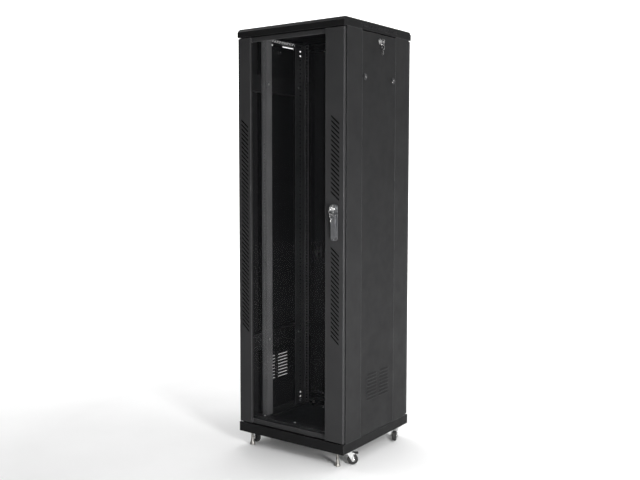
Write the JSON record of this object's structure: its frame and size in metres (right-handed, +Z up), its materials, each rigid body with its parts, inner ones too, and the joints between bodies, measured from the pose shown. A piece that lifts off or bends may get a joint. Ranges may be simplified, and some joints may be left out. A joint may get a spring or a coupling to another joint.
{
  "type": "network server rack cabinet",
  "caption": "Free-standing black 19 inch network rack cabinet with a glass front door, vented stiles, swing handle, lift-off side panels, castors and levelling feet.",
  "frame": {"origin": "on the floor, under the middle of the case", "axes": "+X to the right seen from the front, +Y to the rear, +Z up; the glass door faces -Y"},
  "size_m": [0.6514, 0.672, 2.01],
  "materials": {
    "black_powder_coat": "fine textured matt powder coat",
    "zinc_plate": "bright zinc plate",
    "handle_grey": "satin die-cast grey",
    "smoked_glass": "smoked tempered glass",
    "rubber": "matt black nylon and rubber"
  },
  "bodies": {
    "cabinet": {"base_frame": "black_powder_coat", "roof_cover": "black_powder_coat", "post_front_left": "black_powder_coat", "post_front_right": "black_powder_coat", "post_rear_left": "black_powder_coat", "post_rear_right": "black_powder_coat", "top_beam_front": "black_powder_coat", "top_beam_rear": "black_powder_coat", "bottom_beam_front": "black_powder_coat", "bottom_beam_rear": "black_powder_coat", "brace_upper_left": "black_powder_coat", "brace_upper_right": "black_powder_coat", "brace_lower_left": "black_powder_coat", "brace_lower_right": "black_powder_coat", "rail_front_left": "black_powder_coat", "rail_front_right": "black_powder_coat", "rail_rear_left": "black_powder_coat", "rail_rear_right": "black_powder_coat", "frame_screws": "zinc_plate", "hinge_pins": "zinc_plate", "castor_plates": "zinc_plate", "front_keeper": "zinc_plate"},
    "front_door": {"front_door_frame": "black_powder_coat", "front_door_glass": "smoked_glass", "front_handle_housing": "handle_grey"},
    "handle_spindle": {"front_handle_spindle": "zinc_plate"},
    "handle_lever": {"front_handle_lever": "handle_grey"},
    "front_lock": {"front_lock_barrel": "zinc_plate", "front_key": "zinc_plate"},
    "front_keys": {"front_key_ring": "zinc_plate", "front_spare_key": "zinc_plate"},
    "rear_door": {"rear_door": "black_powder_coat"},
    "rear_lock": {"rear_lock": "zinc_plate", "rear_key": "zinc_plate"},
    "panel_left": {"side_panel_left": "black_powder_coat"},
    "panel_right": {"side_panel_right": "black_powder_coat"},
    "panel_lock_left": {"panel_lock_left": "zinc_plate", "panel_key_left": "zinc_plate"},
    "panel_lock_right": {"panel_lock_right": "zinc_plate", "panel_key_right": "zinc_plate"},
    "panel_keys": {"panel_key_ring": "zinc_plate", "panel_spare_key": "zinc_plate"},
    "latch_left_front": {"latch_left_front": "zinc_plate"},
    "latch_left_rear": {"latch_left_rear": "zinc_plate"},
    "latch_right_front": {"latch_right_front": "zinc_plate"},
    "latch_right_rear": {"latch_right_rear": "zinc_plate"},
    "fork_front_left": {"castor_fork_front_left": "zinc_plate"},
    "wheel_front_left": {"castor_wheel_front_left": "rubber"},
    "pedal_left": {"brake_pedal_left": "rubber"},
    "fork_front_right": {"castor_fork_front_right": "zinc_plate"},
    "wheel_front_right": {"castor_wheel_front_right": "rubber"},
    "pedal_right": {"brake_pedal_right": "rubber"},
    "fork_rear_left": {"castor_fork_rear_left": "zinc_plate"},
    "wheel_rear_left": {"castor_wheel_rear_left": "rubber"},
    "fork_rear_right": {"castor_fork_rear_right": "zinc_plate"},
    "wheel_rear_right": {"castor_wheel_rear_right": "rubber"},
    "foot_front_left": {"foot_front_left": "zinc_plate"},
    "foot_front_right": {"foot_front_right": "zinc_plate"},
    "foot_rear_left": {"foot_rear_left": "zinc_plate"},
    "foot_rear_right": {"foot_rear_right": "zinc_plate"}
  },
  "joints": [
    {"name": "front_door_hinge", "type": "hinge", "parent": "cabinet", "child": "front_door", "pos_m": [-0.2895, -0.29, 1], "axis": [0, 0, -1], "range_deg": [0, 125]},
    {"name": "handle_lift", "type": "hinge", "parent": "handle_spindle", "child": "handle_lever", "pos_m": [0.249, -0.307, 1.146], "axis": [-1, 0, 0], "range_deg": [0, 20]},
    {"name": "handle_turn", "type": "hinge", "parent": "front_door", "child": "handle_spindle", "pos_m": [0.249, -0.307, 1.146], "axis": [0, 1, 0], "range_deg": [0, 90]},
    {"name": "front_key_turn", "type": "hinge", "parent": "front_door", "child": "front_lock", "pos_m": [0.249, -0.313, 1.175], "axis": [0, 1, 0], "range_deg": [0, 90]},
    {"name": "front_keys_swing", "type": "hinge", "parent": "front_lock", "child": "front_keys", "pos_m": [0.249, -0.326, 1.175], "axis": [-1, 0, 0], "range_deg": [0, 45]},
    {"name": "rear_door_hinge", "type": "hinge", "parent": "cabinet", "child": "rear_door", "pos_m": [0.2895, 0.29, 1], "axis": [0, 0, -1], "range_deg": [0, 125]},
    {"name": "rear_lock_turn", "type": "hinge", "parent": "rear_door", "child": "rear_lock", "pos_m": [-0.236, 0.313, 0.908], "axis": [0, 1, 0], "range_deg": [0, 90]},
    {"name": "side_panel_left_pull", "type": "slide", "parent": "cabinet", "child": "panel_left", "axis": [-1, 0, 0], "range_m": [0, 0.12]},
    {"name": "panel_lock_left_turn", "type": "hinge", "parent": "panel_left", "child": "panel_lock_left", "pos_m": [-0.3027, 0, 1.9315], "axis": [1, 0, 0], "range_deg": [0, 90]},
    {"name": "latch_left_front_slide", "type": "slide", "parent": "panel_left", "child": "latch_left_front", "axis": [0, -1, 0], "range_m": [0, 0.008]},
    {"name": "latch_left_rear_slide", "type": "slide", "parent": "panel_left", "child": "latch_left_rear", "axis": [0, 1, 0], "range_m": [0, 0.008]},
    {"name": "side_panel_right_pull", "type": "slide", "parent": "cabinet", "child": "panel_right", "axis": [1, 0, 0], "range_m": [0, 0.12]},
    {"name": "panel_lock_right_turn", "type": "hinge", "parent": "panel_right", "child": "panel_lock_right", "pos_m": [0.3027, 0, 1.9315], "axis": [1, 0, 0], "range_deg": [0, 90]},
    {"name": "latch_right_front_slide", "type": "slide", "parent": "panel_right", "child": "latch_right_front", "axis": [0, -1, 0], "range_m": [0, 0.008]},
    {"name": "latch_right_rear_slide", "type": "slide", "parent": "panel_right", "child": "latch_right_rear", "axis": [0, 1, 0], "range_m": [0, 0.008]},
    {"name": "panel_keys_swing", "type": "hinge", "parent": "panel_lock_right", "child": "panel_keys", "pos_m": [0.3157, 0, 1.9315], "axis": [0, -1, 0], "range_deg": [0, 45]},
    {"name": "castor_swivel_front_left", "type": "hinge", "parent": "cabinet", "child": "fork_front_left", "pos_m": [-0.276, -0.219, 0.06], "axis": [0, 0, 1], "continuous": true},
    {"name": "wheel_spin_front_left", "type": "hinge", "parent": "fork_front_left", "child": "wheel_front_left", "pos_m": [-0.25546, -0.22337, 0.0252], "axis": [0.2079, 0.9781, 0], "continuous": true},
    {"name": "brake_pedal_left_press", "type": "hinge", "parent": "fork_front_left", "child": "pedal_left", "pos_m": [-0.25057, -0.22441, 0.054], "axis": [0.2079, 0.9781, 0], "range_deg": [0, 15]},
    {"name": "castor_swivel_front_right", "type": "hinge", "parent": "cabinet", "child": "fork_front_right", "pos_m": [0.276, -0.219, 0.06], "axis": [0, 0, 1], "continuous": true},
    {"name": "wheel_spin_front_right", "type": "hinge", "parent": "fork_front_right", "child": "wheel_front_right", "pos_m": [0.29277, -0.20636, 0.0252], "axis": [-0.6018, 0.7986, 0], "continuous": true},
    {"name": "brake_pedal_right_press", "type": "hinge", "parent": "fork_front_right", "child": "pedal_right", "pos_m": [0.29677, -0.20335, 0.054], "axis": [-0.6018, 0.7986, 0], "range_deg": [0, 15]},
    {"name": "castor_swivel_rear_left", "type": "hinge", "parent": "cabinet", "child": "fork_rear_left", "pos_m": [-0.276, 0.219, 0.06], "axis": [0, 0, 1], "continuous": true},
    {"name": "wheel_spin_rear_left", "type": "hinge", "parent": "fork_rear_left", "child": "wheel_rear_left", "pos_m": [-0.2865, 0.20081, 0.0252], "axis": [0.866, -0.5, 0], "continuous": true},
    {"name": "castor_swivel_rear_right", "type": "hinge", "parent": "cabinet", "child": "fork_rear_right", "pos_m": [0.276, 0.219, 0.06], "axis": [0, 0, 1], "continuous": true},
    {"name": "wheel_spin_rear_right", "type": "hinge", "parent": "fork_rear_right", "child": "wheel_rear_right", "pos_m": [0.28318, 0.19927, 0.0252], "axis": [0.9397, 0.342, 0], "continuous": true},
    {"name": "foot_front_left_level", "type": "slide", "parent": "cabinet", "child": "foot_front_left", "axis": [0, 0, -1], "range_m": [-0.004, 0.02]},
    {"name": "foot_front_right_level", "type": "slide", "parent": "cabinet", "child": "foot_front_right", "axis": [0, 0, -1], "range_m": [-0.004, 0.02]},
    {"name": "foot_rear_left_level", "type": "slide", "parent": "cabinet", "child": "foot_rear_left", "axis": [0, 0, -1], "range_m": [-0.004, 0.02]},
    {"name": "foot_rear_right_level", "type": "slide", "parent": "cabinet", "child": "foot_rear_right", "axis": [0, 0, -1], "range_m": [-0.004, 0.02]}
  ]
}
